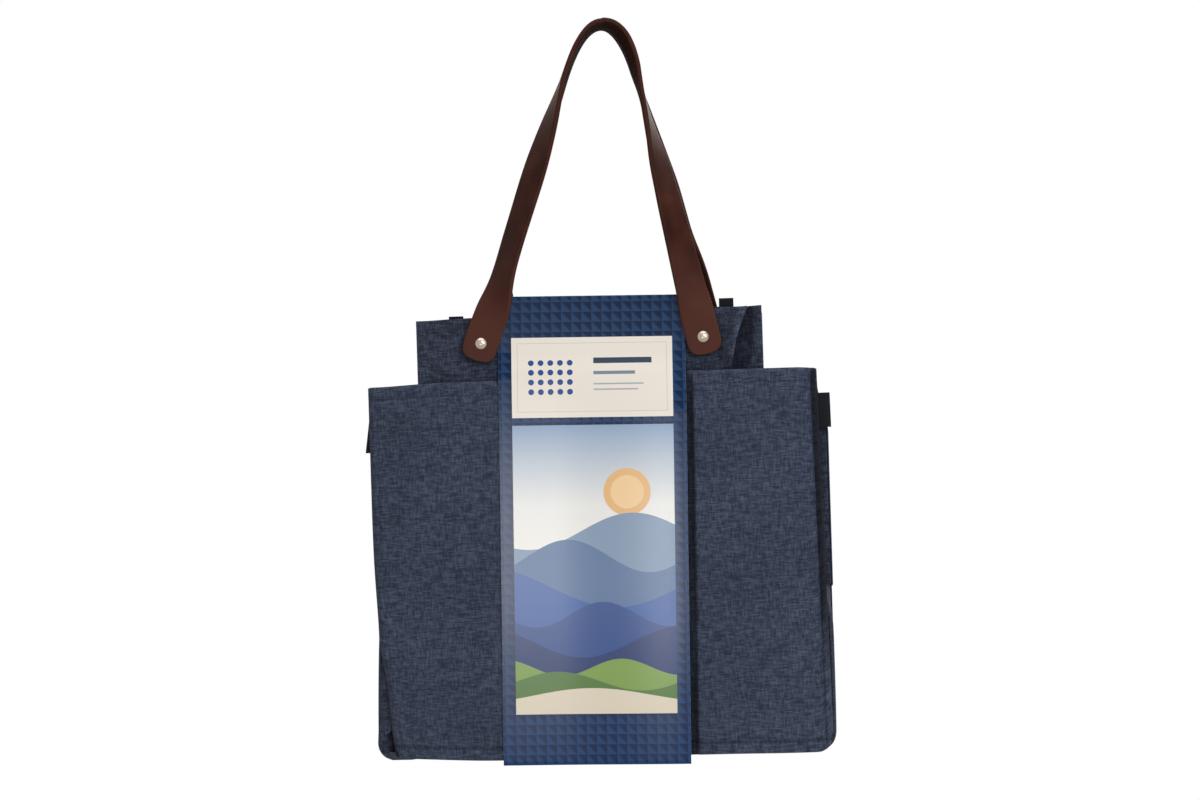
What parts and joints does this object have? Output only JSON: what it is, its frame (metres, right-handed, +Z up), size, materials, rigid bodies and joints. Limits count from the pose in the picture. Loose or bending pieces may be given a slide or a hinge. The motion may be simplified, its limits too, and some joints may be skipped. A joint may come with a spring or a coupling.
{
  "type": "folded shopping tote",
  "caption": "Cloth shopping tote with outer bottle pockets, rigid base and leather handles, folded flat in a card sleeve and hung by its handles.",
  "frame": {"origin": "the hanging point: under the crown of the two handles, midway between them", "axes": "+X to the bag's right as seen from its front, +Y to its back, +Z up"},
  "size_m": [0.341, 0.0549, 0.5372],
  "materials": {
    "navy_cloth": "matte",
    "lining_cloth": "matte",
    "binding_tape": "matte",
    "base_board": "matte",
    "brown_leather": "satin",
    "nickel": "polished",
    "dark_webbing": "matte",
    "thread": "satin",
    "printed_card": "satin"
  },
  "bodies": {
    "tote": {"front_pocket_panel": "navy_cloth", "front_left_divider": "navy_cloth", "front_right_divider": "navy_cloth", "front_body_panel": "navy_cloth", "front_rim_facing": "lining_cloth", "left_end_panel": "navy_cloth", "right_end_panel": "navy_cloth", "back_rim_facing": "lining_cloth", "back_body_panel": "navy_cloth", "back_left_divider": "navy_cloth", "back_right_divider": "navy_cloth", "back_pocket_panel": "navy_cloth", "base_lining": "lining_cloth", "base_board": "base_board", "base_outer_panel": "navy_cloth", "base_binding": "binding_tape", "rim_tabs": "dark_webbing", "front_handle_left_end": "brown_leather", "front_handle_right_end": "brown_leather", "back_handle_left_end": "brown_leather", "back_handle_right_end": "brown_leather", "rivet_caps": "nickel", "rivet_posts": "nickel", "rivet_washers": "nickel", "rivet_backs": "nickel", "side_handle_tacks": "thread"},
    "front_handle": {"front_handle_strap": "brown_leather"},
    "back_handle": {"back_handle_strap": "brown_leather"},
    "left_side_handle_loop": {"left_side_handle": "dark_webbing"},
    "right_side_handle_loop": {"right_side_handle": "dark_webbing"},
    "sleeve": {"card_sleeve": "printed_card"}
  },
  "joints": [
    {"name": "front_handle_swing", "type": "hinge", "parent": "tote", "child": "front_handle", "pos_m": [-0.0136, -0.01705, -0.217], "axis": [1, 0, 0], "range_deg": [0, 140]},
    {"name": "back_handle_swing", "type": "hinge", "parent": "tote", "child": "back_handle", "pos_m": [-0.0096, 0.00535, -0.217], "axis": [-1, 0, 0], "range_deg": [0, 140]},
    {"name": "left_side_handle_lift", "type": "hinge", "parent": "tote", "child": "left_side_handle_loop", "pos_m": [-0.1136, -0.006, -0.286], "axis": [0, 1, 0], "range_deg": [-10, 45]},
    {"name": "right_side_handle_lift", "type": "hinge", "parent": "tote", "child": "right_side_handle_loop", "pos_m": [0.0864, -0.006, -0.286], "axis": [0, -1, 0], "range_deg": [-10, 45]},
    {"name": "sleeve_slide", "type": "slide", "parent": "tote", "child": "sleeve", "axis": [1, 0, 0], "range_m": [-0.003, 0.006]}
  ]
}
